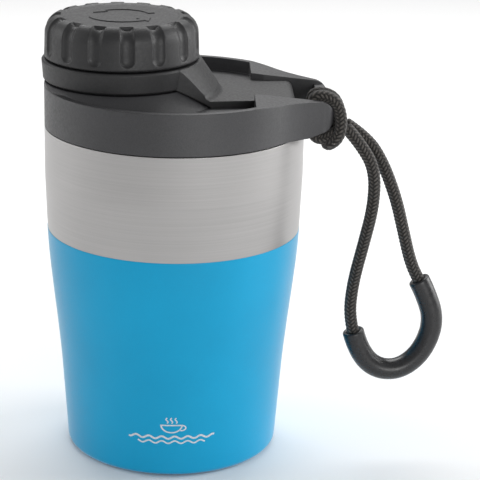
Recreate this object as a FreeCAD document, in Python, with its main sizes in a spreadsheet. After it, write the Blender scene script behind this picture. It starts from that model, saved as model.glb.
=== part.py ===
import FreeCAD, Part
import Sketcher
import math
import os

# Insulated drinking tumbler with a screw lid, a tethered screw cap and a cord carry loop.
# Millimetres. The origin is the centre of the base on the standing surface, +Z is up, and +X
# points along the nose of the lid, where the cord is tied.

doc = FreeCAD.newDocument("tumbler")
V = FreeCAD.Vector

# ---------------------------------------------------------------- driving dimensions

DIMENSIONS = {
    # double-walled cup
    "cup_radius": 40.4,
    "rim_height": 105.1,
    "coat_height": 72.5,
    "coat_thickness": 0.1,
    "wall": 0.5,
    "foot_radius": 31.2,
    "foot_height": 0.4,
    "pad_radius": 29.6,
    "liner_gap": 2.6,
    "liner_floor": 7.0,
    "getter_radius": 4.0,
    # thread between the lid and the cup
    "neck_pitch": 6.0,
    "neck_turns": 1.25,
    # lid
    "lid_radius": 40.3,
    "lid_bottom": 105.4,
    "lid_top": 118.1,
    "lid_wall": 2.1,
    "deck_bottom": 109.2,
    "well_floor": 114.0,
    "channel_floor": 110.8,
    "nose_end": 48.5,
    "slot_start": 37.9,
    "slot_end": 44.0,
    "bar_bevel": 2.8,
    "bar_top": 115.0,
    "skirt_radius": 35.2,
    "skirt_wall": 1.6,
    "skirt_bottom": 92.0,
    # spout and its cap
    "spout_x": -16.44,
    "spout_bore": 15.4,
    "spout_radius": 17.0,
    "spout_top": 131.2,
    "cap_pitch": 3.0,
    "cap_turns": 1.3,
    "boss_foot": 30.9,
    "boss_radius": 24.0,
    "boss_top": 119.2,
    "cap_radius": 23.8,
    "cap_bottom": 126.35,
    "cap_top": 139.2,
    "cap_flat_radius": 18.3,
    "flute_count": 15,
    "flute_radius": 2.9,
    "flute_depth": 0.8,
    # tether
    "ring_radius": 24.6,
    "ring_bore": 21.8,
    "ring_bottom": 119.6,
    "ring_top": 126.0,
    "arm_top": 116.1,
    "arm_bottom": 112.6,
    "arm_foot": 31.3,
    "arm_root_half_width": 17.2,
    "arm_half_width": 13.2,
    "arm_straight_x": 28.0,
    "pin_x": 34.8,
    "pin_height": 113.9,
    "pin_radius": 1.0,
    "knuckle_radius": 2.2,
    # carry loop
    "cord_radius": 2.0,
    "knot_y": -9.0,
    "grip_radius": 3.45,
    "grip_bore": 2.25,
}

sheet = doc.addObject("Spreadsheet::Sheet", "Sizes")
for row, (alias, number) in enumerate(DIMENSIONS.items(), start=1):
    sheet.set(f"A{row}", alias)
    sheet.set(f"B{row}", str(number))
    sheet.setAlias(f"B{row}", alias)
doc.recompute()


class Size:
    """A length with its value and the spreadsheet expression that gives it."""

    def __init__(self, value, text):
        self.value = value
        self.text = text

    def __add__(self, other):
        other = size(other)
        return Size(self.value + other.value, f"({self.text} + {other.text})")

    def __sub__(self, other):
        other = size(other)
        return Size(self.value - other.value, f"({self.text} - {other.text})")

    def __mul__(self, number):
        return Size(self.value * number, f"({self.text} * {number})")

    def __neg__(self):
        return self * -1.0


def size(thing):
    """A plain number as a Size; a Size as itself."""
    return thing if isinstance(thing, Size) else Size(float(thing), f"({float(thing)})")


def cell(alias):
    """The Size that a spreadsheet cell holds."""
    return Size(float(sheet.get(alias)), f"Sizes.{alias}")


S = {alias: cell(alias) for alias in DIMENSIONS}

# ---------------------------------------------------------------- building blocks


def bind(thing, **values):
    """Bind properties of an object to sizes."""
    for name, value in values.items():
        thing.setExpression(name, size(value).text)


def place(thing, x=0.0, y=0.0, z=0.0):
    """Bind an object's place to sizes."""
    for letter, value in zip("xyz", (x, y, z)):
        thing.setExpression(f".Placement.Base.{letter}", size(value).text)


def origin_plane(body, role):
    return next(f for f in body.Origin.OriginFeatures if f.Role == role)


def add_outline(sketch, outline):
    """Close an outline of corners in a sketch.

    A corner is (across, up) or (across, up, via), where via lists the points that the edge to the
    next corner passes through: none for a straight edge, one for an arc, more for a smooth curve.
    """
    corners = [(size(c[0]), size(c[1]), c[2] if len(c) > 2 else []) for c in outline]
    for k, (x, y, via) in enumerate(corners):
        end = corners[(k + 1) % len(corners)]
        a = V(x.value, y.value, 0)
        b = V(end[0].value, end[1].value, 0)
        middle = [V(p[0], p[1], 0) for p in via]
        if len(middle) == 1:
            anticlockwise = (middle[0] - a).cross(b - middle[0]).z > 0
            ends = (a, b) if anticlockwise else (b, a)
            sketch.addGeometry(Part.Arc(ends[0], middle[0], ends[1]))
        elif middle:
            curve = Part.BSplineCurve()
            curve.interpolate([a, *middle, b])
            sketch.addGeometry(curve)
        else:
            sketch.addGeometry(Part.LineSegment(a, b))
    for k, (x, y, via) in enumerate(corners):
        start = 1 if (sketch.Geometry[k].StartPoint - V(x.value, y.value, 0)).Length < 1e-6 else 2
        for kind, value in (("DistanceX", x), ("DistanceY", y)):
            index = sketch.addConstraint(Sketcher.Constraint(kind, -1, 1, k, start, value.value))
            sketch.setExpression(f"Constraints[{index}]", value.text)
    for k in range(len(corners)):
        after = (k + 1) % len(corners)
        corner = V(corners[after][0].value, corners[after][1].value, 0)
        ends = []
        for index in (k, after):
            shape = sketch.Geometry[index]
            near = (shape.StartPoint - corner).Length < (shape.EndPoint - corner).Length
            ends += [index, 1 if near else 2]
        sketch.addConstraint(Sketcher.Constraint("Coincident", *ends))


def new_sketch(body, role, outline):
    sketch = body.newObject("Sketcher::SketchObject", f"{body.Name}_sketch")
    sketch.AttachmentSupport = [(origin_plane(body, role), "")]
    sketch.MapMode = "FlatFace"
    add_outline(sketch, outline)
    return sketch


def lathe(name, outline, axis_x=0.0):
    """A body turned about a vertical axis; the outline's points are (radius, height)."""
    body = doc.addObject("PartDesign::Body", name)
    sketch = new_sketch(body, "XZ_Plane", outline)
    turned = body.newObject("PartDesign::Revolution", f"{name}_turned")
    turned.Profile = sketch
    turned.ReferenceAxis = (sketch, ["V_Axis"])
    turned.Angle = 360.0
    sketch.Visibility = False
    place(body, x=axis_x)
    return body


def padded(name, outline, bottom, top):
    """A body of a plan outline in X and Y, from one height to another."""
    body = doc.addObject("PartDesign::Body", name)
    sketch = new_sketch(body, "XY_Plane", outline)
    pad = body.newObject("PartDesign::Pad", f"{name}_pad")
    pad.Profile = sketch
    bind(pad, Length=size(top) - bottom)
    place(body, z=bottom)
    return body


def side_cut(name, outline, width):
    """A body of an outline in X and Z, with half its width on each side of Y = 0."""
    body = doc.addObject("PartDesign::Body", name)
    sketch = new_sketch(body, "XZ_Plane", outline)
    pad = body.newObject("PartDesign::Pad", f"{name}_pad")
    pad.Profile = sketch
    pad.Midplane = True
    bind(pad, Length=width)
    return body


def threaded(body, radius, height, depth, width, pitch, turns):
    """Add a right-hand thread rib to a turned body; a negative depth points it inwards."""
    root = size(radius) - (0.25 if depth > 0 else -0.25)
    crest = size(radius) + depth
    half = width / 2
    outline = [
        (root, size(height) - half),
        (crest, size(height) - half * 0.45),
        (crest, size(height) + half * 0.45),
        (root, size(height) + half),
    ]
    sketch = new_sketch(body, "XZ_Plane", outline)
    rib = body.newObject("PartDesign::AdditiveHelix", f"{body.Name}_thread")
    rib.Profile = sketch
    rib.ReferenceAxis = (sketch, ["V_Axis"])
    rib.Mode = "pitch-turns-angle"
    bind(rib, Pitch=pitch, Turns=turns)
    body.Tip = rib
    return body


def cylinder(name, radius, bottom, top, x=0.0, y=0.0):
    thing = doc.addObject("Part::Cylinder", name)
    bind(thing, Radius=radius, Height=size(top) - bottom)
    place(thing, x, y, bottom)
    return thing


def cross_cylinder(name, radius, half_length, x, z):
    """A cylinder along Y, centred on Y = 0."""
    thing = doc.addObject("Part::Cylinder", name)
    bind(thing, Radius=radius, Height=size(half_length) * 2)
    thing.Placement = FreeCAD.Placement(V(0, 0, 0), FreeCAD.Rotation(V(1, 0, 0), -90))
    place(thing, x, -size(half_length), z)
    return thing


def box(name, low, high):
    thing = doc.addObject("Part::Box", name)
    spans = [size(b) - a for a, b in zip(low, high)]
    bind(thing, Length=spans[0], Width=spans[1], Height=spans[2])
    place(thing, *low)
    return thing


def joined(name, *things):
    fuse = doc.addObject("Part::MultiFuse", name)
    fuse.Shapes = list(things)
    return fuse


def cut(name, base, *tools):
    thing = doc.addObject("Part::Cut", name)
    thing.Base = base
    thing.Tool = tools[0] if len(tools) == 1 else joined(f"{name}_tools", *tools)
    return thing


def shared(name, one, other):
    thing = doc.addObject("Part::Common", name)
    thing.Base = one
    thing.Tool = other
    return thing


# ---------------------------------------------------------------- the cup

# The side flares gently through the lower two thirds and is upright above them. Each entry is
# (height, how far inside the cup's full radius).
FLARE = [(17.0, 5.75), (30.0, 4.8), (42.0, 3.6), (53.5, 2.3), (65.0, 1.15), (76.5, 0.5)]
FLARE_TOP = 90.0
FLARE_FOOT = (3.0, 6.75)


def side(inset, below=FLARE_TOP, above=FLARE_FOOT[0]):
    """Points down the cup's side, inset from its outer surface, between two heights."""
    radius = S["cup_radius"].value - inset
    return [(radius - inside, up) for up, inside in reversed(FLARE) if above < up < below]


def wall_radius(inset, up=None):
    """The side's radius at the top, or at its foot."""
    inside = FLARE_FOOT[1] if up == "foot" else 0.0
    return S["cup_radius"] - size(inset) - inside


def outer_shell():
    """Steel outer wall, turned in at the foot."""
    skin = S["coat_thickness"].value
    inner = skin + S["wall"].value
    foot = S["foot_height"]
    outline = [
        (wall_radius(skin), S["rim_height"]),
        (wall_radius(skin), FLARE_TOP, side(skin)),
        (wall_radius(skin, "foot"), FLARE_FOOT[0], [(32.85, 1.15)]),
        (S["foot_radius"], foot),
        (S["foot_radius"], foot + S["wall"], [(32.5, 1.5)]),
        (wall_radius(inner, "foot"), FLARE_FOOT[0], side(inner)[::-1]),
        (wall_radius(inner), FLARE_TOP),
        (wall_radius(inner), S["rim_height"]),
    ]
    return lathe("outer_shell", outline)


def powder_coat():
    """Paint layer over the lower part of the steel."""
    skin = S["coat_thickness"].value
    outline = [
        (wall_radius(0.0), FLARE_TOP, side(0.0)),
        (wall_radius(0.0, "foot"), FLARE_FOOT[0], [(32.93, 1.08)]),
        (S["foot_radius"], S["foot_height"] - S["coat_thickness"]),
        (S["foot_radius"], S["foot_height"], [(32.85, 1.15)]),
        (wall_radius(skin, "foot"), FLARE_FOOT[0], side(skin)[::-1]),
        (wall_radius(skin), FLARE_TOP),
    ]
    layer = lathe("coat_layer", outline)
    extent = cylinder("coat_extent", S["cup_radius"] + 2.0, -1.0, S["coat_height"])
    return shared("powder_coat", layer, extent)


def inner_liner():
    """Steel inner wall with the neck thread, welded to the outer wall at the rim."""
    gap = S["coat_thickness"] + S["wall"] + S["liner_gap"]
    outside = gap.value
    inside = outside + S["wall"].value
    floor = S["liner_floor"]
    lip = S["rim_height"] - S["wall"]
    outline = [
        (0.0, floor),
        (26.0, floor, [(29.9, 9.0)]),
        (wall_radius(outside, "foot") + 0.35, 14.0, side(outside, FLARE_TOP, 16.0)[::-1]),
        (wall_radius(outside), FLARE_TOP),
        (wall_radius(outside), lip),
        (S["cup_radius"] - S["coat_thickness"] - S["wall"], lip),
        (S["cup_radius"] - S["coat_thickness"] - S["wall"], S["rim_height"]),
        (wall_radius(inside), S["rim_height"]),
        (wall_radius(inside), FLARE_TOP, side(inside, FLARE_TOP, 16.0)),
        (wall_radius(inside, "foot") + 0.35, 14.0, [(29.5, 9.35)]),
        (26.0, floor + S["wall"]),
        (0.0, floor + S["wall"]),
    ]
    body = lathe("inner_liner", outline)
    return threaded(body, wall_radius(inside), 95.5, -1.0, 1.8, S["neck_pitch"], S["neck_turns"])


def base_pieces():
    """Welded bottom disc, the bead that seals the vacuum, the getter and the non-slip pad."""
    top = S["foot_height"] + S["wall"]
    upper = top + 0.6
    foot = S["foot_radius"]
    disc = lathe("base_disc", [(0, top), (foot, top), (foot, upper), (0, upper)])
    bead = cylinder("vacuum_seal", 2.0, upper, upper + 1.0)
    getter = cylinder("getter", S["getter_radius"], upper, upper + 1.6, x=14.0)
    edge = S["pad_radius"]
    pad = lathe("base_pad", [(0, 0), (edge - 0.4, 0), (edge, 0.4), (edge, top), (0, top)])
    return [disc, bead, getter, pad]


# ---------------------------------------------------------------- the lid


def plan_outline():
    """Plan of the lid: a circle that flares into a blunt nose."""
    nose = S["nose_end"]
    flare = [(36.1, 20.6), (41.3, 17.1)]
    mirrored = [(x, -y) for x, y in flare]
    leaves_x = 31.2
    leaves_y = math.sqrt(S["lid_radius"].value ** 2 - leaves_x**2)
    return [
        (leaves_x, -leaves_y, mirrored),
        (45.1, -15.0, [(47.7, -13.6)]),
        (nose, -11.5),
        (nose, 11.5, [(47.7, 13.6)]),
        (45.1, 15.0, flare[::-1]),
        (leaves_x, leaves_y, [(-S["lid_radius"].value, 0.0)]),
    ]


def arm_outline(end, gap=0.0):
    """Plan of the arm, tapering from the ring and then straight to its end, with a gap around it."""
    root, half, bend = S["arm_root_half_width"] + gap, S["arm_half_width"] + gap, S["arm_straight_x"]
    return [(0.0, -root), (bend, -half), (end, -half), (end, half), (bend, half), (0.0, root)]


def lid_shell():
    """Collar, deck, nose and the raised boss around the spout, moulded in one piece."""
    bottom, top = S["lid_bottom"], S["lid_top"]
    left = -S["lid_radius"] - 3.0
    plan = padded("lid_plan", plan_outline(), bottom, top)
    outline = [
        (left, bottom),
        (40.5, bottom),
        (44.2, bottom + 0.9, [(S["nose_end"].value, 111.25)]),
        (44.5, S["arm_top"] + 0.1),
        (25.0, top),
        (left, top),
    ]
    block = shared("lid_block", plan, side_cut("lid_side", outline, 100.0))
    inner = S["lid_radius"] - S["lid_wall"]
    well = shared(
        "lid_well",
        cylinder("lid_well_round", inner, S["well_floor"], top + 3.0),
        box("lid_well_end", (-45.0, -45.0, 110.0), (24.0, 45.0, 125.0)),
    )
    channel = padded("lid_channel", arm_outline(S["slot_start"], 0.3), S["channel_floor"], top + 3.0)
    slot = box("cord_slot", (S["slot_start"] - 0.1, -13.5, 100.0), (S["slot_end"], 13.5, 125.0))
    bevel, edge = S["bar_bevel"], bottom + 0.8
    outline = [
        (S["slot_end"] - 1.0, 100.0),
        (S["slot_end"] + bevel + 4.0, 100.0),
        (S["slot_end"] + bevel, edge),
        (S["slot_end"], edge + bevel),
        (S["slot_end"] - 1.0, edge + bevel),
    ]
    rounded = side_cut("bar_bevel_cut", outline, 27.0)
    lowered = box("bar_lowered", (S["slot_end"] - 1.0, -13.5, S["bar_top"]), (50.0, 13.5, 125.0))
    under = cylinder("lid_under", inner + 0.1, 100.0, S["deck_bottom"])
    bored = cut("lid_bored", block, well, channel, slot, lowered, rounded, under)
    outline = [
        (S["spout_radius"], S["channel_floor"] - 0.4),
        (S["boss_foot"], S["channel_floor"] - 0.4),
        (S["boss_foot"], S["well_floor"] - 0.1),
        (S["boss_radius"], S["boss_top"]),
        (S["spout_radius"], S["boss_top"]),
    ]
    cone = lathe("lid_cone", outline, S["spout_x"])
    boss = shared("lid_boss", cone, cylinder("lid_round", S["lid_radius"] - 0.15, 100.0, 125.0))
    whole = joined("lid_whole", bored, boss)
    hole = cylinder("spout_hole", S["spout_radius"] + 0.05, 100.0, 125.0, x=S["spout_x"])
    pin_hole = cross_cylinder("pin_hole", S["pin_radius"], 16.6, S["pin_x"], S["pin_height"])
    return cut("lid_shell", whole, hole, pin_hole)


def lid_skirt():
    """Threaded plug that screws into the cup's neck and carries the spout."""
    radius, wall, bottom = S["skirt_radius"], S["skirt_wall"], S["skirt_bottom"]
    flange = S["lid_radius"] - S["lid_wall"]
    top = S["deck_bottom"] - 0.1
    outline = [
        (0.0, bottom),
        (radius, bottom),
        (radius, top - 2.1),
        (flange, top - 2.1),
        (flange, top),
        (radius - wall, top),
        (radius - wall, bottom + wall),
        (0.0, bottom + wall),
    ]
    body = lathe("lid_plug", outline)
    start = 96.5 - S["neck_pitch"].value / 2
    threaded(body, radius, start, 1.0, 1.8, S["neck_pitch"], S["neck_turns"])
    mouth = cylinder("plug_mouth", S["spout_bore"], 80.0, 100.0, x=S["spout_x"])
    return cut("lid_skirt", body, mouth)


def lid_insulation():
    """Foam disc between the plug's floor and the deck, around the spout."""
    radius = S["skirt_radius"] - S["skirt_wall"] - 0.1
    disc = cylinder("foam_disc", radius, S["skirt_bottom"] + S["skirt_wall"] + 0.1, S["deck_bottom"] - 0.3)
    hole = cylinder("foam_hole", S["spout_radius"] + 0.2, 90.0, 112.0, x=S["spout_x"])
    return cut("lid_insulation", disc, hole)


def lid_seal():
    """Silicone ring under the flange, which closes on the cup's rim."""
    inner = S["skirt_radius"] + 1.2
    outer = S["lid_radius"] - S["lid_wall"] - 0.1
    bottom = S["rim_height"] + 0.1
    top = S["deck_bottom"] - 2.3
    outline = [
        (inner, bottom + 0.5),
        (inner + 0.4, bottom),
        (outer - 0.4, bottom),
        (outer, bottom + 0.5),
        (outer, top),
        (inner, top),
    ]
    return lathe("lid_seal", outline)


def spout():
    """Drinking spout: a threaded tube that stands on the plug's floor."""
    bore, radius, top = S["spout_bore"], S["spout_radius"], S["spout_top"]
    outline = [
        (bore, S["skirt_bottom"] + S["skirt_wall"]),
        (radius, S["skirt_bottom"] + S["skirt_wall"]),
        (radius, top - 0.8, [(16.77, 130.97)]),
        (radius - 0.8, top, [(15.75, 131.0)]),
        (bore, top - 0.8),
    ]
    body = lathe("spout", outline, S["spout_x"])
    return threaded(body, radius, 122.6, 0.8, 1.3, S["cap_pitch"], S["cap_turns"])


# ---------------------------------------------------------------- the tether and its hinge


def tether():
    """Ring that holds the cap, the ramp down from it and the hinged arm, in one piece."""
    ring_outline = [
        (S["ring_bore"], S["ring_top"]),
        (S["ring_bore"], S["ring_bottom"] + 2.6),
        (S["ring_bore"] + 0.6, S["ring_bottom"] + 2.4),
        (S["ring_bore"] + 0.6, S["ring_bottom"]),
        (S["ring_radius"] - 0.9, S["ring_bottom"]),
        (S["ring_radius"] - 0.4, S["ring_bottom"] + 0.5),
        (S["ring_radius"], S["ring_top"] - 0.5),
        (S["ring_radius"] - 0.4, S["ring_top"]),
    ]
    ring = lathe("tether_ring", ring_outline, S["spout_x"])
    ramp_outline = [
        (S["boss_radius"] - 1.0, S["ring_bottom"] + 0.1),
        (S["ring_radius"] - 0.6, S["ring_bottom"]),
        (S["arm_foot"], S["well_floor"] + 0.3),
        (S["arm_foot"], S["arm_bottom"]),
        (S["arm_foot"] + 3.0, S["arm_bottom"]),
        (S["arm_foot"] + 3.0, S["arm_top"]),
        (S["arm_foot"], S["arm_top"], [(S["arm_foot"].value - 0.9, S["arm_top"].value + 0.7)]),
        (S["arm_foot"] - 1.4, S["arm_top"] + 1.9),
        (S["ring_radius"] - 0.1, S["ring_top"] - 0.1),
        (S["boss_radius"] - 1.0, S["ring_top"] - 0.1),
    ]
    cone = lathe("tether_cone", ramp_outline, S["spout_x"])
    ramp = shared("tether_ramp", cone, padded("tether_wedge", arm_outline(S["pin_x"]), 110.0, 130.0))
    slab = padded("tether_slab", arm_outline(S["pin_x"]), S["arm_bottom"], S["arm_top"])
    plate = cut("tether_plate", slab, cylinder("tether_round", S["arm_foot"], 110.0, 130.0, x=S["spout_x"]))
    knuckle = cross_cylinder(
        "tether_knuckle", S["knuckle_radius"], S["arm_half_width"], S["pin_x"], S["pin_height"]
    )
    whole = joined("tether_whole", ring, ramp, plate, knuckle)
    hole = cross_cylinder("tether_hole", S["pin_radius"] + 0.06, 20.0, S["pin_x"], S["pin_height"])
    return cut("tether", whole, hole)


def hinge_pin():
    """Steel pin between the nose's cheeks, on which the arm turns."""
    return cross_cylinder("hinge_pin", S["pin_radius"], 16.5, S["pin_x"], S["pin_height"])


# ---------------------------------------------------------------- the cap


def flute_tool(index):
    """One finger groove: a round-ended upright scoop that leans in over the shoulder."""
    angle = math.radians(-90 + 5.7) + 2 * math.pi * index / int(S["flute_count"].value)
    radius = S["flute_radius"]
    away = S["cap_radius"].value - 0.1 - S["flute_depth"].value + radius.value
    low, knee, tip = 129.9, 136.6, 142.6
    lean = math.radians(47)
    pieces = []
    lengths = (("upright", low, knee - low, 0.0), ("leaning", knee, tip - knee, lean))
    for name, height, length, tilt in lengths:
        tube = doc.addObject("Part::Cylinder", f"flute_{name}_{index}")
        bind(tube, Radius=radius, Height=length / math.cos(tilt))
        inward = -math.sin(tilt)
        direction = V(inward * math.cos(angle), inward * math.sin(angle), math.cos(tilt))
        turn = FreeCAD.Rotation(V(0, 0, 1), direction)
        spot = V(S["spout_x"].value + away * math.cos(angle), away * math.sin(angle), height)
        tube.Placement = FreeCAD.Placement(spot, turn)
        ball = doc.addObject("Part::Sphere", f"flute_{name}_end_{index}")
        bind(ball, Radius=radius)
        ball.Placement = FreeCAD.Placement(spot, FreeCAD.Rotation())
        pieces += [tube, ball]
    return joined(f"flute_{index}", *pieces)


def cap_shell():
    """Outer cap: fluted skirt, domed shoulder, flat top, and a neck that snaps into the ring."""
    radius, bottom, top = S["cap_radius"], S["cap_bottom"], S["cap_top"]
    neck = S["ring_bore"] - 0.4
    outline = [
        (0.0, top),
        (S["cap_flat_radius"], top, [(22.1, 137.6)]),
        (radius - 0.25, 133.6),
        (radius, bottom),
        (neck, bottom),
        (neck, S["ring_bottom"] + 2.3),
        (neck + 0.6, S["ring_bottom"] + 2.0),
        (neck + 0.6, S["ring_bottom"] + 1.0),
        (neck, S["ring_bottom"] + 0.6),
        (neck - 0.75, S["ring_bottom"] + 0.6),
        (neck - 0.75, top - 2.5),
        (0.0, top - 2.5),
    ]
    blank = lathe("cap_blank", outline, S["spout_x"])
    flutes = [flute_tool(k) for k in range(int(S["flute_count"].value))]
    return cut("cap_shell", blank, *flutes)


def cap_liner():
    """Threaded insert inside the cap."""
    outer = S["ring_bore"] - 1.2
    inner = outer - 0.8
    roof = S["spout_top"] + 2.3
    outline = [
        (0.0, roof),
        (inner, roof),
        (inner, S["ring_bottom"] + 1.2),
        (outer, S["ring_bottom"] + 1.2),
        (outer, roof + 0.8),
        (0.0, roof + 0.8),
    ]
    body = lathe("cap_liner", outline, S["spout_x"])
    return threaded(body, inner, 124.4, -0.5, 1.2, S["cap_pitch"], S["cap_turns"])


def cap_seal():
    """Silicone disc that closes on the spout's lip."""
    return cylinder("cap_seal", 18.9, S["spout_top"] + 0.4, S["spout_top"] + 2.3, x=S["spout_x"])


# ---------------------------------------------------------------- the carry loop

# The loop of cord, from the knot on the nose, down through the grip and back up to the knot.
CORD_ROUTE = [
    (53.9, -11.1, 105.8),
    (57.5, -11.1, 101.8),
    (61.9, -11.2, 93.8),
    (61.9, -11.4, 82.3),
    (59.2, -11.4, 69.5),
    (56.5, -11.2, 57.2),
    (55.7, -10.8, 45.4),
    (59.6, -10.2, 33.2),
    (65.3, -9.5, 27.4),
    (73.2, -8.5, 27.0),
    (80.1, -7.8, 33.0),
    (83.4, -7.2, 43.2),
    (79.9, -6.8, 53.2),
    (75.2, -6.7, 61.3),
    (72.2, -6.7, 72.7),
    (69.2, -6.8, 84.2),
    (64.3, -6.9, 96.1),
    (59.1, -6.9, 103.4),
    (54.7, -6.9, 107.4),
]
GRIP_FROM = 7
GRIP_TO = 12
BEND_SHARE = 0.45


def bend_radius(before, corner, after):
    """Radius of the arc at a corner of the route."""
    turn = (corner - before).getAngle(after - corner)
    shorter = min((corner - before).Length, (after - corner).Length)
    return BEND_SHARE * shorter / math.tan(turn / 2)


def route_edges(points):
    """Straight runs joined by tangent arcs, as [run, arc, run, arc, ... run]."""
    edges = []
    start = points[0]
    for before, corner, after in zip(points, points[1:], points[2:]):
        back = (before - corner).normalize()
        ahead = (after - corner).normalize()
        reach = BEND_SHARE * min((corner - before).Length, (after - corner).Length)
        radius = bend_radius(before, corner, after)
        inward = (back + ahead).normalize()
        centre = corner + inward * math.hypot(reach, radius)
        first = corner + back * reach
        last = corner + ahead * reach
        edges.append(Part.LineSegment(start, first).toShape())
        edges.append(Part.Arc(first, centre - inward * radius, last).toShape())
        start = last
    edges.append(Part.LineSegment(start, points[-1]).toShape())
    return edges


def tube(edges, radius):
    """A round bar along a wire."""
    wire = Part.Wire(edges)
    first = edges[0]
    start = first.valueAt(first.FirstParameter)
    along = first.tangentAt(first.FirstParameter)
    ring = Part.Wire([Part.makeCircle(radius, start, along)])
    return wire.makePipeShell([ring], True, False), wire.Length


def compare(label, shape, radius, length):
    expected = math.pi * radius**2 * length
    print(f"{label}: length {length:.1f} mm, volume {shape.Volume:.1f} of {expected:.1f} mm3")


def feature(name, shape):
    """A sub-part whose shape the route decides."""
    thing = doc.addObject("Part::Feature", name)
    thing.Shape = shape
    thing.Placement = FreeCAD.Placement()
    return thing


def cord_pieces():
    """The cord and the moulded grip that it runs through."""
    points = [V(*p) for p in CORD_ROUTE]
    radii = [bend_radius(a, b, c) for a, b, c in zip(points, points[1:], points[2:])]
    print("cord arc radii:", ", ".join(f"{r:.1f}" for r in radii))
    edges = route_edges(points)
    cord, length = tube(edges, S["cord_radius"].value)
    compare("cord_loop", cord, S["cord_radius"].value, length)
    held = edges[2 * (GRIP_FROM - 1) : 2 * GRIP_TO + 1]
    outside, held_length = tube(held, S["grip_radius"].value)
    compare("grip", outside, S["grip_radius"].value, held_length)
    bore = tube(held, S["grip_bore"].value)[0]
    return [feature("cord_loop", cord), feature("grip", outside.cut(bore))]


def hitch_turn(y):
    """One closed turn of cord, up through the slot, over the nose bar and back underneath it."""
    left, right = S["slot_end"].value - 2.1, S["nose_end"].value + 2.2
    low, high = 104.1, S["bar_top"].value + 2.2
    tight, wide, sweep = 2.2, 4.4, 4.2
    diagonal = 1 - math.sqrt(0.5)
    corners = [
        (V(left, y, low), V(0, 0, 1), V(1, 0, 0), sweep),
        (V(left, y, high), V(1, 0, 0), V(0, 0, -1), tight),
        (V(right, y, high), V(0, 0, -1), V(-1, 0, 0), wide),
        (V(right, y, low), V(-1, 0, 0), V(0, 0, 1), wide),
    ]
    edges = []
    last = V(right - wide, y, low)
    for corner, ahead, back, bend in corners:
        first = corner + back * bend
        middle = corner + (ahead + back) * bend * diagonal
        edges.append(Part.LineSegment(last, first).toShape())
        last = corner + ahead * bend
        edges.append(Part.Arc(first, middle, last).toShape())
    return tube(edges, S["cord_radius"].value)[0]


def cord_hitch():
    """Two turns round the nose bar and the bight that crosses them at the knot."""
    reach = 2.05
    over = 0.9
    middle = S["knot_y"].value
    radius = S["cord_radius"].value + 0.15
    start = V(49.6, middle - reach - over, 105.2)
    bight = Part.makeCylinder(radius, 2 * (reach + over), start, V(0, 1, 0))
    bight = bight.makeFillet(0.7, [e for e in bight.Edges if e.Length > 6 * radius])
    return feature("cord_hitch", bight.fuse([hitch_turn(middle - reach), hitch_turn(middle + reach)]))


# ---------------------------------------------------------------- the document and its files

NODES = [
    outer_shell(),
    powder_coat(),
    inner_liner(),
    *base_pieces(),
    lid_shell(),
    lid_skirt(),
    lid_insulation(),
    lid_seal(),
    spout(),
    tether(),
    hinge_pin(),
    cap_shell(),
    cap_liner(),
    cap_seal(),
    *cord_pieces(),
    cord_hitch(),
]

doc.recompute()
for thing in doc.Objects:
    if {"Invalid", "Error"} & set(thing.State):
        raise RuntimeError(f"{thing.Name} failed: {thing.State}")
os.makedirs("parts", exist_ok=True)
for node in NODES:
    node.Label = node.Name
    shape = node.Shape
    if shape.isNull() or not shape.isValid() or not shape.Solids:
        raise RuntimeError(f"{node.Name} has no valid solid")
    print(f"{node.Name}: {len(shape.Solids)} solid(s), {shape.Volume:.1f} mm3")
for node in NODES:
    node.Shape.exportStep(f"parts/{node.Label}.step")
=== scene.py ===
"""Insulated drinking tumbler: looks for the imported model, in metres, in the CAD's own frame."""

import math

import bmesh
import bpy
import numpy as np
from mathutils import Matrix, Vector


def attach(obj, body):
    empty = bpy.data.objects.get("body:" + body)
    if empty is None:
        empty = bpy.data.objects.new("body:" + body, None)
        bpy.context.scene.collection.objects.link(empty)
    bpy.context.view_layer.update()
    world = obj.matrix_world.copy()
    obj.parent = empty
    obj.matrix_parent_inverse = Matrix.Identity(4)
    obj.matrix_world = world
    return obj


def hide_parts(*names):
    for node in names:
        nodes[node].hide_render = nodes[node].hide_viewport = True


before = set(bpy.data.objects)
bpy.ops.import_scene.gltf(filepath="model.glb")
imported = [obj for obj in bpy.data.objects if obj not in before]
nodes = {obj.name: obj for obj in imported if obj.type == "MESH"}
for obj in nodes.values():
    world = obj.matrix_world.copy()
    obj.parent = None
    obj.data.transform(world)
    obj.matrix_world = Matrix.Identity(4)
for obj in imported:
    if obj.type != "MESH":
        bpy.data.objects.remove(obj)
bpy.context.scene.view_settings.view_transform = "Standard"
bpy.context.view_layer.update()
MM = 0.001

# ---------------------------------------------------------------- camera

CAMERA_PLACE = (0, -0.5678, 0.25405)
LENS_MM, SENSOR_MM = 141.2, 36.0

def add_camera():
    """A long lens from a little above the lid, aimed past the middle of the cup."""
    azimuth, dip, roll = math.radians(2.13), math.radians(18.21), math.radians(1.26)
    ahead = Vector(
        (math.sin(azimuth) * math.cos(dip), math.cos(azimuth) * math.cos(dip), -math.sin(dip))
    )
    level = ahead.cross(Vector((0, 0, 1))).normalized()
    rise = level.cross(ahead)
    right = level * math.cos(roll) + rise * math.sin(roll)
    up = rise * math.cos(roll) - level * math.sin(roll)
    data = bpy.data.cameras.new("camera")
    data.lens = LENS_MM
    data.sensor_width = SENSOR_MM
    data.clip_start = 0.01
    camera = bpy.data.objects.new("camera", data)
    turn = Matrix((right, up, -ahead)).transposed().to_4x4()
    camera.matrix_world = Matrix.Translation(CAMERA_PLACE) @ turn
    bpy.context.scene.collection.objects.link(camera)
    bpy.context.scene.camera = camera


add_camera()

# ---------------------------------------------------------------- mesh helpers


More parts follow.
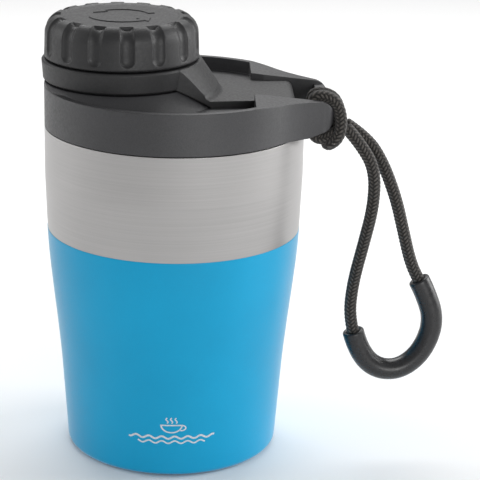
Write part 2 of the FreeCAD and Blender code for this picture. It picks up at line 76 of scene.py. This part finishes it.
def new_piece(name, points, faces, body, material):
    """A smooth-shaded mesh object that rides on a body."""
    mesh = bpy.data.meshes.new(name)
    mesh.from_pydata([tuple(p) for p in points], [], [tuple(f) for f in faces])
    mesh.materials.append(material)
    mesh.polygons.foreach_set("use_smooth", [True] * len(mesh.polygons))
    mesh.update()
    piece = bpy.data.objects.new(name, mesh)
    bpy.context.scene.collection.objects.link(piece)
    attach(piece, body)
    return piece


def grid_faces(rows, columns):
    """Quads of a grid of points whose columns close on themselves."""
    faces = []
    for i in range(rows - 1):
        for j in range(columns):
            k = (j + 1) % columns
            n = i + 1
            faces.append((i * columns + j, i * columns + k, n * columns + k, n * columns + j))
    return faces


def curve_line(name, points):
    """Closely spaced points on the smooth curve that has these control points."""
    curve = bpy.data.curves.new(name, "CURVE")
    curve.dimensions = "3D"
    spline = curve.splines.new("NURBS")
    spline.points.add(len(points) - 1)
    for point, place in zip(spline.points, points):
        point.co = (*[c * MM for c in place], 1.0)
    spline.order_u = 3
    spline.use_endpoint_u = True
    spline.resolution_u = 24
    holder = bpy.data.objects.new(name, curve)
    bpy.context.scene.collection.objects.link(holder)
    bpy.context.view_layer.update()
    mesh = bpy.data.meshes.new_from_object(holder)
    line = np.array([v.co[:] for v in mesh.vertices])
    bpy.data.objects.remove(holder)
    bpy.data.meshes.remove(mesh)
    return line


def even(line, step):
    """The same line with points a step apart."""
    gaps = np.linalg.norm(np.diff(line, axis=0), axis=1)
    along = np.concatenate([[0.0], np.cumsum(gaps)])
    count = max(2, int(round(along[-1] / step)) + 1)
    places = np.linspace(0, along[-1], count)
    return np.stack([np.interp(places, along, line[:, k]) for k in range(3)], axis=1), places


def tube_frames(line):
    """Tangents and two side directions that turn as little as possible along the line."""
    tangents = np.gradient(line, axis=0)
    tangents /= np.linalg.norm(tangents, axis=1)[:, None]
    side = np.cross(tangents[0], (0.0, 1.0, 0.0))
    if np.linalg.norm(side) < 0.1:
        side = np.cross(tangents[0], (1.0, 0.0, 0.0))
    sides = []
    for tangent in tangents:
        side = side - tangent * np.dot(side, tangent)
        side /= np.linalg.norm(side)
        sides.append(side)
    sides = np.array(sides)
    return tangents, sides, np.cross(tangents, sides)


def braid(name, line, along, radius, body, material):
    """A braided cord: two families of strands, each over two and under two of the other."""
    around, strands, lay = 64, 8, 0.0100
    core, bulge, end_taper = 0.875, 0.12, 0.0006
    tangents, sides, others = tube_frames(line)
    angle = np.linspace(0, 2 * math.pi, around, endpoint=False)
    theta, run = np.meshgrid(angle, along)
    turns = theta / (2 * math.pi) * strands
    a = turns + run * strands / lay
    b = turns - run * strands / lay
    over = np.mod(np.floor(a) + np.floor(b), 4) < 2
    float_a = np.mod(np.floor(a) + b, 4) / 2
    float_b = np.mod(a + np.floor(b), 4) / 2 - 1
    crown = np.abs(np.sin(math.pi * np.where(over, a, b)))
    rise = np.abs(np.sin(math.pi * np.clip(np.where(over, float_a, float_b), 0, 1)))
    height = crown**0.6 * (0.45 + 0.55 * rise**0.6)
    from_end = np.minimum(run, along[-1] - run)
    rounding = 0.6 + 0.4 * np.sqrt(np.clip(from_end / end_taper, 0, 1))
    rings = radius * (core + bulge * height) * rounding
    points = (
        line[:, None, :]
        + sides[:, None, :] * (rings * np.cos(theta))[:, :, None]
        + others[:, None, :] * (rings * np.sin(theta))[:, :, None]
    )
    flat = points.reshape(-1, 3).tolist()
    first, last = len(flat), len(flat) + 1
    flat += [line[0].tolist(), line[-1].tolist()]
    base = (len(line) - 1) * around
    faces = grid_faces(len(line), around)
    faces += [(first, (j + 1) % around, j) for j in range(around)]
    faces += [(last, base + j, base + (j + 1) % around) for j in range(around)]
    piece = new_piece(name, flat, faces, body, material)
    # The strands' height is stored for the braid's material, which paints shade in the gaps and
    # highlight on the crowns from it.
    for label, values in (("relief", height), ("fibre", np.where(over, a, b))):
        layer = piece.data.attributes.new(label, "FLOAT", "POINT")
        layer.data.foreach_set("value", values.reshape(-1).tolist() + [0.3, 0.3])
    return piece


# ---------------------------------------------------------------- materials


class Look:
    """A node material, built up a node at a time."""

    def __init__(self, name, **uniform):
        self.material = bpy.data.materials.new(name)
        self.material.use_nodes = True
        self.tree = self.material.node_tree
        self.shader = self.tree.nodes["Principled BSDF"]
        for key, value in uniform.items():
            socket = key.replace("_", " ").title().replace("Ior", "IOR")
            self.shader.inputs[socket].default_value = value
        where = self.tree.nodes.new("ShaderNodeTexCoord")
        self.place = where.outputs["Object"]

    def put(self, socket, value):
        if isinstance(value, bpy.types.NodeSocket):
            self.tree.links.new(value, socket)
        else:
            socket.default_value = value

    def add(self, kind, inputs, **settings):
        node = self.tree.nodes.new("ShaderNode" + kind)
        for key, value in settings.items():
            setattr(node, key, value)
        for key, value in inputs.items():
            self.put(node.inputs[key], value)
        return node

    def noise(self, stretch, detail=2.0, roughness=0.5):
        """Noise whose features are about 1/stretch metres across, along each axis."""
        moved = self.add("Mapping", {"Vector": self.place, "Scale": stretch})
        inputs = {
            "Vector": moved.outputs[0],
            "Scale": 1.0,
            "Detail": detail,
            "Roughness": roughness,
        }
        return self.add("TexNoise", inputs).outputs["Fac"]

    def math(self, operation, a, b=0.0):
        return self.add("Math", {0: a, 1: b}, operation=operation).outputs[0]

    def spread(self, value, low, high, out_low, out_high):
        inputs = {
            "Value": value,
            "From Min": low,
            "From Max": high,
            "To Min": out_low,
            "To Max": out_high,
        }
        return self.add("MapRange", inputs).outputs["Result"]

    def colours(self, factor, *stops):
        ramp = self.add("ValToRGB", {"Fac": factor})
        elements = ramp.color_ramp.elements
        while len(elements) < len(stops):
            elements.new(0.5)
        for element, (position, colour) in zip(elements, stops):
            element.position = position
            element.color = (*colour, 1.0)
        return ramp.outputs["Color"]

    def relief(self, height, distance, strength=1.0, edges=None):
        inputs = {"Height": height, "Distance": distance, "Strength": strength}
        if edges is not None:
            inputs["Normal"] = self.soft_edges(edges)
        return self.add("Bump", inputs).outputs["Normal"]

    def soft_edges(self, radius):
        """Normals as if the edges were moulded with this radius."""
        return self.add("Bevel", {"Radius": radius}, samples=6).outputs["Normal"]

    def finish(self, **sockets):
        for key, value in sockets.items():
            self.put(self.shader.inputs[key.replace("_", " ").title()], value)
        return self.material


def brushed_steel(name, tint=(0.43, 0.422, 0.418), roughness=0.34):
    """Stainless steel, brushed round and round."""
    look = Look(name, metallic=1.0, anisotropic=0.6)
    fine = look.noise((14.0, 14.0, 3600.0), detail=3.0, roughness=0.65)
    broad = look.noise((20.0, 20.0, 1500.0), detail=2.0)
    cloud = look.noise((30.0, 30.0, 90.0), detail=3.0)
    lines = look.math("ADD", look.math("MULTIPLY", fine, 0.75), look.math("MULTIPLY", broad, 0.25))
    mixed = look.math("ADD", look.math("MULTIPLY", lines, 0.8), look.math("MULTIPLY", cloud, 0.2))
    dark = tuple(c * 0.90 for c in tint)
    light = tuple(min(1.0, c * 1.09) for c in tint)
    colour = look.colours(mixed, (0.30, dark), (0.5, tint), (0.70, light))
    rough = look.spread(lines, 0.3, 0.7, roughness - 0.05, roughness + 0.07)
    normal = look.relief(lines, 0.00002, 0.4, edges=0.0002)
    return look.finish(Base_Color=colour, Roughness=rough, Normal=normal)


def powder_paint():
    """Satin powder coat with a faint orange peel."""
    look = Look(
        "blue_powder_coat", specular_ior_level=0.25, sheen_weight=0.45, sheen_roughness=0.35
    )
    peel = look.noise((1500.0, 1500.0, 1500.0), detail=2.0)
    cloud = look.noise((35.0, 35.0, 35.0), detail=3.0)
    mixed = look.math("ADD", look.math("MULTIPLY", peel, 0.3), look.math("MULTIPLY", cloud, 0.7))
    colour = look.colours(mixed, (0.3, (0.0, 0.30, 0.54)), (0.7, (0.0, 0.335, 0.595)))
    rough = look.spread(peel, 0.3, 0.7, 0.42, 0.52)
    return look.finish(Base_Color=colour, Roughness=rough, Normal=look.relief(peel, 0.00003, 0.5))


def moulded(
    name, dark, light, roughness=0.55, grain=2600.0, depth=0.00005, edge=0.0004, level=0.5
):
    """Moulded plastic with a fine spark-eroded grain and softened edges."""
    look = Look(name, specular_ior_level=level)
    fine = look.noise((grain, grain, grain), detail=2.0, roughness=0.6)
    cloud = look.noise((60.0, 60.0, 60.0), detail=4.0)
    specks = look.noise((grain * 0.45,) * 3, detail=1.0)
    mixed = look.math("ADD", look.math("MULTIPLY", fine, 0.6), look.math("MULTIPLY", cloud, 0.4))
    colour = look.colours(mixed, (0.35, dark), (0.65, light))
    rough = look.spread(specks, 0.3, 0.7, roughness - 0.06, roughness + 0.08)
    normal = look.relief(fine, depth, 0.6, edges=edge)
    return look.finish(Base_Color=colour, Roughness=rough, Normal=normal)


def braided(name):
    """Dark polyester braid with a few light filaments, painted shade in its gaps and painted
    highlight on its crowns.
    """
    look = Look(
        name, roughness=0.8, specular_ior_level=0.25, sheen_weight=0.25, sheen_roughness=0.5
    )
    relief = look.add("Attribute", {}, attribute_name="relief").outputs["Fac"]
    fibre = look.add("Attribute", {}, attribute_name="fibre").outputs["Fac"]
    flecks = look.noise((2600.0, 2600.0, 2600.0), detail=3.0, roughness=0.7)
    threads = look.math("SINE", look.math("MULTIPLY", fibre, 26.0))
    # The colour follows the strands' relief: the near-black gaps between strands are painted shade,
    # and the lighter crowns are painted highlight.
    gaps, flanks, crown_highlight = (0.004, 0.004, 0.004), (0.022, 0.020, 0.018), (0.085, 0.077, 0.070)
    body = look.colours(relief, (0.2, gaps), (0.6, flanks), (0.95, crown_highlight))
    # Light flecks, kept to the crowns by the relief: partly light filaments, partly painted
    # highlight.
    flecks_and_glints = look.spread(flecks, 0.60, 0.70, 0.0, 1.0)
    flecks_and_glints = look.math("MULTIPLY", flecks_and_glints, look.spread(relief, 0.6, 0.95, 0.0, 1.0))
    speckled = look.add("Mix", {0: flecks_and_glints, 6: body, 7: (0.38, 0.35, 0.32, 1.0)}, data_type="RGBA")
    normal = look.relief(threads, 0.00004, 0.5)
    return look.finish(Base_Color=speckled.outputs[2], Normal=normal)


# ---------------------------------------------------------------- the carry loop

LOOP_ROUTE = [
    (52.3, -11.1, 107.6),
    (57.5, -11.1, 101.8),
    (61.9, -11.2, 93.8),
    (61.9, -11.4, 82.3),
    (59.2, -11.4, 69.5),
    (56.5, -11.2, 57.2),
    (55.7, -10.8, 45.4),
    (59.6, -10.2, 33.2),
    (65.3, -9.5, 27.4),
    (73.2, -8.5, 27.0),
    (80.1, -7.8, 33.0),
    (83.4, -7.2, 43.2),
    (79.9, -6.8, 53.2),
    (75.2, -6.7, 61.3),
    (72.2, -6.7, 72.7),
    (69.2, -6.8, 84.2),
    (64.3, -6.9, 96.1),
    (59.1, -6.9, 103.4),
    (52.4, -6.9, 107.8),
]
GRIP_ENDS = ((57.3, -10.5, 40.6), (77.7, -6.8, 56.6))

# Half of the hitch: from the strap, under the nose bar, up the slot, over the bar and down to the
# bight that holds both strands.
HITCH_HALF = [
    (52.7, -2.1, 107.5),
    (50.0, -2.1, 106.4),
    (47.0, -2.1, 104.3),
    (43.8, -2.1, 103.6),
    (41.9, -2.1, 106.2),
    (41.9, -2.1, 111.0),
    (41.9, -2.1, 115.9),
    (43.4, -2.1, 117.2),
    (46.2, -2.1, 117.1),
    (49.1, -2.2, 115.5),
    (50.7, -2.7, 111.5),
    (50.8, -3.8, 107.2),
    (49.5, -3.9, 103.9),
    (47.6, -3.2, 102.3),
    (46.9, -1.5, 101.9),
]
KNOT_Y = -9.0


def braided_cord(name, route, radius, body, material, step=0.00026):
    line, along = even(curve_line(f"{name}_line", route), step)
    return braid(name, line, along, radius, body, material), line


def grip_tube(line, material):
    """Moulded grip: a bent tube with rounded, open ends, slightly flattened inside its bend."""
    ends = [np.array(p) * MM for p in GRIP_ENDS]
    first, last = (int(np.argmin(np.linalg.norm(line - e, axis=1))) for e in ends)
    step, bore_depth = 0.0005, 0.006
    held, run = even(line[first : last + 1], step)
    tangents, sides, others = tube_frames(held)
    around = 48
    angle = np.linspace(0, 2 * math.pi, around, endpoint=False)
    outer, bore, lip = 0.00345, 0.00215, 0.0006
    pinch_depth, pinch_length = 0.07, 0.011
    rings = [(k, bore, 0.0) for k in range(int(round(bore_depth / step)), 0, -1)]
    for turn in np.linspace(0, math.pi / 2, 6):
        mouth = bore + (outer - lip - bore) * 0.5 * math.sin(turn)
        rings.append((0, mouth, -lip * 0.35 * math.sin(turn)))
    for turn in np.linspace(0, math.pi / 2, 6):
        corner = outer - lip + lip * math.sin(turn)
        rings.append((0, corner, lip * (1 - math.cos(turn)) - lip * 0.35))
    body_rings = [(k, outer, 0.0) for k in range(2, len(held) - 2)]
    tail = [(len(held) - 1 - k, r, -shift) for k, r, shift in reversed(rings)]
    middle = run[-1] / 2
    points = []
    for k, radius, shift in rings + body_rings + tail:
        centre = held[k] + tangents[k] * shift
        pinch = math.exp(-(((run[k] - middle) / pinch_length) ** 2)) if radius == outer else 0.0
        for a in angle:
            out = sides[k] * math.cos(a) + others[k] * math.sin(a)
            inside = max(0.0, out[2]) ** 2
            points.append(centre + out * radius * (1 - pinch_depth * pinch * inside))
    faces = grid_faces(len(rings) + len(body_rings) + len(tail), around)
    return new_piece("grip_moulding", points, faces, "carry_loop", material)


def add_carry_loop():
    cord_look = braided("dark_braid")
    grip_dark, grip_light = (0.012, 0.012, 0.013), (0.020, 0.020, 0.022)
    grip_look = moulded("grip_plastic", grip_dark, grip_light, 0.30, 1500.0, 0.00002)
    loop, line = braided_cord("loop_braid", LOOP_ROUTE, 0.002, "carry_loop", cord_look)
    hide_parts("cord_loop")
    grip = grip_tube(line, grip_look)
    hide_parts("grip")
    near = [(x, KNOT_Y + y, z) for x, y, z in HITCH_HALF]
    far = [(x, KNOT_Y - y, z) for x, y, z in reversed(HITCH_HALF)]
    hitch = braided_cord("hitch_braid", near + far, 0.00195, "lid", cord_look)[0]
    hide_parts("cord_hitch")


add_carry_loop()

# ---------------------------------------------------------------- the cap

# The cap's sizes are in mm, apart from the arrows' heights and bevel, which are in metres.
CAP_AXIS_X = -16.44
CAP_AROUND, FLUTES = 720, 15
FLUTE_HALF_WIDTH, FLUTE_DEPTH, FLUTE_FOOT, FLUTE_TOP_RADIUS = 2.15, 1.05, 129.9, 18.6
ARROW_FOOT, ARROW_TOP, ARROW_BEVEL = 0.13885, 0.13918, 0.00012

def cap_profile():
    """Points (radius, height) from inside the skirt, over the shoulder, to the centre."""
    points = [(21.0, 126.4), (23.1, 126.4), (23.45, 126.5), (23.7, 126.75), (23.78, 127.1)]
    points += [(23.78 - 0.035 * (z - 127.1), z) for z in np.linspace(127.4, 133.6, 32)]
    for turn in np.linspace(0, 1, 30)[1:]:
        a = turn * math.radians(72)
        points.append((18.35 + 5.2 * math.cos(a), 133.7 + 5.75 * math.sin(a)))
    rim = points[-1][0]
    points += [(rim - step, 139.19) for step in np.linspace(0.1, 1.9, 14)]
    points += [(rim - 2.2, 139.15), (rim - 2.5, 139.02), (rim - 2.8, 138.93), (rim - 3.3, 138.9)]
    points += [(r, 138.9) for r in np.linspace(rim - 4.2, 0.05, 14)]
    return np.array(points)


def flute_depth(radius, height, offset):
    """How far a groove is sunk into the cap's side, at an angle from the groove's middle."""
    across = radius * offset / FLUTE_HALF_WIDTH
    below = max(0.0, FLUTE_FOOT - height) / FLUTE_HALF_WIDTH
    inside = 1 - across**2 - below**2
    if inside <= 0 or radius < FLUTE_TOP_RADIUS:
        return 0.0
    top_end = min(1.0, (radius - FLUTE_TOP_RADIUS) / 0.35)
    return FLUTE_DEPTH * inside**0.65 * top_end


def add_cap(material):
    """The fluted cap and the two raised arrows on its top."""
    start = math.radians(-90 + 5.7)
    pitch = 2 * math.pi / FLUTES
    points = []
    profile = cap_profile()
    along = np.gradient(profile, axis=0)
    along /= np.linalg.norm(along, axis=1)[:, None]
    for (radius, height), (run, rise) in zip(profile, along):
        for k in range(CAP_AROUND):
            angle = 2 * math.pi * k / CAP_AROUND
            offset = (angle - start + math.pi / FLUTES) % pitch - math.pi / FLUTES
            sunk = flute_depth(radius, height, offset)
            r, z = radius - sunk * rise, height + sunk * run
            x, y = CAP_AXIS_X + r * math.cos(angle), r * math.sin(angle)
            points.append((x * MM, y * MM, z * MM))
    faces = grid_faces(len(profile), CAP_AROUND)
    cap = new_piece("cap_moulding", points, faces, "cap", material)
    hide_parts("cap_shell")

    def arrow(turn):
        """A curved arrow, as an outline in plan."""
        inner, outer, barb = 8.4, 10.6, 1.7
        sweep = [turn + math.radians(a) for a in np.linspace(0, 112, 26)]
        tip = turn + math.radians(140)
        middle = (inner + outer) / 2
        ring = [(outer, a) for a in sweep]
        ring += [(outer + barb, sweep[-1]), (middle, tip), (inner - barb, sweep[-1])]
        ring += [(inner, a) for a in reversed(sweep)]
        return [(CAP_AXIS_X + r * math.cos(a), r * math.sin(a)) for r, a in ring]

    for index, turn in enumerate((math.radians(20), math.radians(200))):
        outline = arrow(turn)
        shape = bmesh.new()
        face = shape.faces.new([shape.verts.new((x * MM, y * MM, ARROW_FOOT)) for x, y in outline])
        face.normal_update()
        raised = bmesh.ops.extrude_face_region(shape, geom=[face])
        for item in raised["geom"]:
            if isinstance(item, bmesh.types.BMVert):
                item.co.z = ARROW_TOP
        bmesh.ops.recalc_face_normals(shape, faces=shape.faces)
        bmesh.ops.bevel(
            shape,
            geom=[e for e in shape.edges if min(v.co.z for v in e.verts) > 0.1391],
            offset=ARROW_BEVEL,
            segments=2,
            affect="EDGES",
        )
        mesh = bpy.data.meshes.new(f"cap_arrow_{index}")
        shape.to_mesh(mesh)
        shape.free()
        mesh.materials.append(material)
        mark = bpy.data.objects.new(f"cap_arrow_{index}", mesh)
        bpy.context.scene.collection.objects.link(mark)
        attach(mark, "cap")


black = moulded("black_plastic", (0.022, 0.022, 0.024), (0.036, 0.036, 0.039), 0.45, level=0.65)
cap_black = moulded("cap_plastic", (0.014, 0.014, 0.015), (0.022, 0.022, 0.023), 0.48, edge=0.0003)
tether_black = moulded("tether_plastic", (0.015, 0.015, 0.016), (0.025, 0.025, 0.026), 0.5)
add_cap(cap_black)

# ---------------------------------------------------------------- the coat and the printed mark

# The cup's outer surface, as (height, radius), up to the edge of the paint.
FLARE = [(3.0, 33.65), (17.0, 34.65), (30.0, 35.6), (42.0, 36.8), (53.5, 38.1), (65.0, 39.25)]
FLARE += [(76.5, 39.9), (90.0, 40.4)]
COAT_TOP = 72.5
PRINT_FOOT, PRINT_RADIUS, INK_RISE = 16.6, 34.6, 0.04


def cup_radius(height):
    """The cup's radius at a height, on a smooth curve through the flare's points."""
    heights, radii = (np.array(column) for column in zip(*FLARE))
    slopes = np.gradient(radii, heights)
    k = int(np.clip(np.searchsorted(heights, height) - 1, 0, len(heights) - 2))
    span = heights[k + 1] - heights[k]
    t = (height - heights[k]) / span
    here = radii[k] * (1 + 2 * t) * (1 - t) ** 2 + slopes[k] * span * t * (1 - t) ** 2
    return here + radii[k + 1] * t * t * (3 - 2 * t) + slopes[k + 1] * span * t * t * (t - 1)


def add_coat(material):
    """The paint: it rolls in at the foot and ends in a thin rounded edge on the steel."""
    around = 360
    foot_turn = np.linspace(-math.pi / 2, 0, 10)
    profile = [(31.25, 0.33)]
    profile += [(31.3 + 2.32 * math.cos(a), 2.7 + 2.37 * math.sin(a)) for a in foot_turn]
    profile += [(cup_radius(z), z) for z in np.linspace(3.0, COAT_TOP - 0.06, 90)]
    edge = cup_radius(COAT_TOP)
    profile += [(edge - 0.02, COAT_TOP - 0.02), (edge - 0.05, COAT_TOP), (edge - 0.13, COAT_TOP)]
    turns = np.linspace(0, 2 * math.pi, around, endpoint=False)
    points = [
        (r * math.cos(a) * MM, r * math.sin(a) * MM, z * MM) for r, z in profile for a in turns
    ]
    coat = new_piece("paint_layer", points, grid_faces(len(profile), around), "cup", material)
    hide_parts("powder_coat")


def ribbon(path, width):
    """Left and right edges of a band along a path in the plane."""
    path = np.array(path, float)
    along = np.gradient(path, axis=0)
    along /= np.linalg.norm(along, axis=1)[:, None]
    across = np.stack([-along[:, 1], along[:, 0]], axis=1) * width / 2
    return path + across, path - across


def add_print(material):
    """A steaming cup over a row of waves, printed round the front of the cup."""
    strokes = []
    half_turn = np.linspace(math.pi, 2 * math.pi, 25)
    bowl = [(3.2 * math.cos(a), 1.6 + 2.5 * math.sin(a)) for a in half_turn]
    strokes.append((bowl, 0.45))
    strokes.append(([(x, 1.6) for x in np.linspace(-3.5, 3.5, 15)], 0.45))
    ear = np.linspace(-1.9, 1.5, 18)
    handle = [(3.1 + 1.3 * math.cos(a), 0.7 + 0.9 * math.sin(a)) for a in ear]
    strokes.append((handle, 0.4))
    for x in (-1.4, 0.0, 1.4):
        steam = [(x + 0.32 * math.sin(t * 1.9), 2.3 + t * 0.55) for t in np.linspace(0, 3.4, 18)]
        strokes.append((steam, 0.38))
    for row, height in enumerate((-2.6, -4.2)):
        span = 13.6 - 3.0 * row
        wave = [(x, height + 0.42 * math.sin(x * 1.55)) for x in np.linspace(-span, span, 150)]
        strokes.append((wave, 0.62 - 0.12 * row))
    points, faces = [], []
    for path, width in strokes:
        base = len(points)
        for edge in ribbon(path, width):
            for u, v in edge:
                angle = -math.pi / 2 + u / PRINT_RADIUS
                height = PRINT_FOOT + v
                radius = cup_radius(height) + INK_RISE
                points.append(
                    (radius * math.cos(angle) * MM, radius * math.sin(angle) * MM, height * MM)
                )
        count = len(path)
        for k in range(base, base + count - 1):
            faces.append((k, k + 1, count + k + 1, count + k))
    mark = new_piece("printed_mark", points, faces, "cup", material)


def print_ink():
    look = Look("print_ink", specular_ior_level=0.4)
    grain = look.noise((1800.0, 1800.0, 1800.0), detail=2.0)
    colour = look.colours(grain, (0.35, (0.52, 0.56, 0.60)), (0.65, (0.66, 0.69, 0.72)))
    return look.finish(Base_Color=colour, Roughness=look.spread(grain, 0.3, 0.7, 0.4, 0.55))


add_coat(powder_paint())
add_print(print_ink())

# ---------------------------------------------------------------- finishes of the CAD parts


def silicone(name, dark, light):
    return moulded(name, dark, light, 0.62, 900.0, 0.00003, edge=0.0003)


def foam(name):
    look = Look(name, roughness=0.95, specular_ior_level=0.1)
    cells = look.add("TexVoronoi", {"Vector": look.place, "Scale": 900.0}).outputs["Distance"]
    # The colour is darker towards each cell's middle, where the bump sinks into a pore: painted
    # shade in the pores.
    colour = look.colours(cells, (0.0, (0.55, 0.54, 0.50)), (0.8, (0.78, 0.77, 0.73)))
    return look.finish(Base_Color=colour, Normal=look.relief(cells, 0.0002, 0.7))


def solder(name):
    look = Look(name, metallic=1.0)
    swirl = look.noise((700.0, 700.0, 700.0), detail=4.0)
    colour = look.colours(swirl, (0.3, (0.36, 0.36, 0.35)), (0.7, (0.56, 0.56, 0.54)))
    rough = look.spread(swirl, 0.3, 0.7, 0.35, 0.6)
    return look.finish(Base_Color=colour, Roughness=rough, Normal=look.relief(swirl, 0.00008, 0.6))


steel = brushed_steel("brushed_steel")
bright_steel = brushed_steel("liner_steel", (0.64, 0.63, 0.62), 0.26)
inner_black = moulded("inner_plastic", (0.020, 0.020, 0.021), (0.030, 0.030, 0.032), 0.45, 2000.0)
FINISHES = {
    "outer_shell": steel,
    "inner_liner": bright_steel,
    "base_disc": steel,
    "vacuum_seal": solder("solder_bead"),
    "getter": solder("getter_alloy"),
    "base_pad": silicone("pad_silicone", (0.018, 0.018, 0.019), (0.028, 0.028, 0.030)),
    "lid_shell": black,
    "lid_skirt": inner_black,
    "lid_insulation": foam("foam"),
    "lid_seal": silicone("seal_silicone", (0.30, 0.30, 0.30), (0.38, 0.38, 0.38)),
    "spout": inner_black,
    "tether": tether_black,
    "hinge_pin": bright_steel,
    "cap_liner": inner_black,
    "cap_seal": silicone("disc_silicone", (0.32, 0.32, 0.32), (0.40, 0.40, 0.40)),
}
for node_name, finish in FINISHES.items():
    for material_slot in nodes[node_name].material_slots:
        material_slot.material = finish

# ---------------------------------------------------------------- floor and light

SKY_STRENGTH = 0.38
LIGHT_AIM = (0, 0, 0.07)
# Each soft lamp's place, width and height in metres, and power in watts.
LAMPS = {
    "back_softbox": ((0.0, 0.60, 0.80), 1.0, 0.5, 6.2),
    "left_softbox": ((-0.80, 0.15, 0.35), 0.5, 0.6, 2.0),
    "right_softbox": ((0.80, 0.15, 0.35), 0.5, 0.6, 5.2),
    "front_softbox": ((0.6, -1.6, 0.35), 0.9, 0.6, 10.0),
}

def add_floor():
    """A plain white floor."""
    look = Look("floor", roughness=0.9, specular_ior_level=0.1)
    soft = look.noise((3.0, 3.0, 3.0))
    look.finish(Base_Color=look.colours(soft, (0.3, (0.88, 0.88, 0.88)), (0.7, (0.90, 0.90, 0.90))))
    radius, corners = 6, 64
    mesh = bpy.data.meshes.new("floor")
    turns = np.linspace(0, 2 * math.pi, corners, endpoint=False)
    ring = [(radius * math.cos(a), radius * math.sin(a), 0) for a in turns]
    mesh.from_pydata(ring, [], [tuple(range(corners))])
    mesh.materials.append(look.material)
    floor = bpy.data.objects.new("floor", mesh)
    bpy.context.scene.collection.objects.link(floor)


def add_sky(strength):
    """Even white light from all round."""
    world = bpy.data.worlds.new("studio")
    bpy.context.scene.world = world
    world.use_nodes = True
    background = world.node_tree.nodes["Background"]
    background.inputs["Color"].default_value = (1, 1, 1, 1)
    background.inputs["Strength"].default_value = strength


def add_lamp(name, place, width, height, power):
    data = bpy.data.lights.new(name, "AREA")
    data.shape = "RECTANGLE"
    data.size = width
    data.size_y = height
    data.energy = power
    lamp = bpy.data.objects.new(name, data)
    lamp.location = place
    aim = Vector(LIGHT_AIM) - Vector(place)
    lamp.rotation_euler = aim.to_track_quat("-Z", "Y").to_euler()
    bpy.context.scene.collection.objects.link(lamp)


add_floor()
add_sky(SKY_STRENGTH)
for lamp_name, (place, width, height, power) in LAMPS.items():
    add_lamp(lamp_name, place, width, height, power)
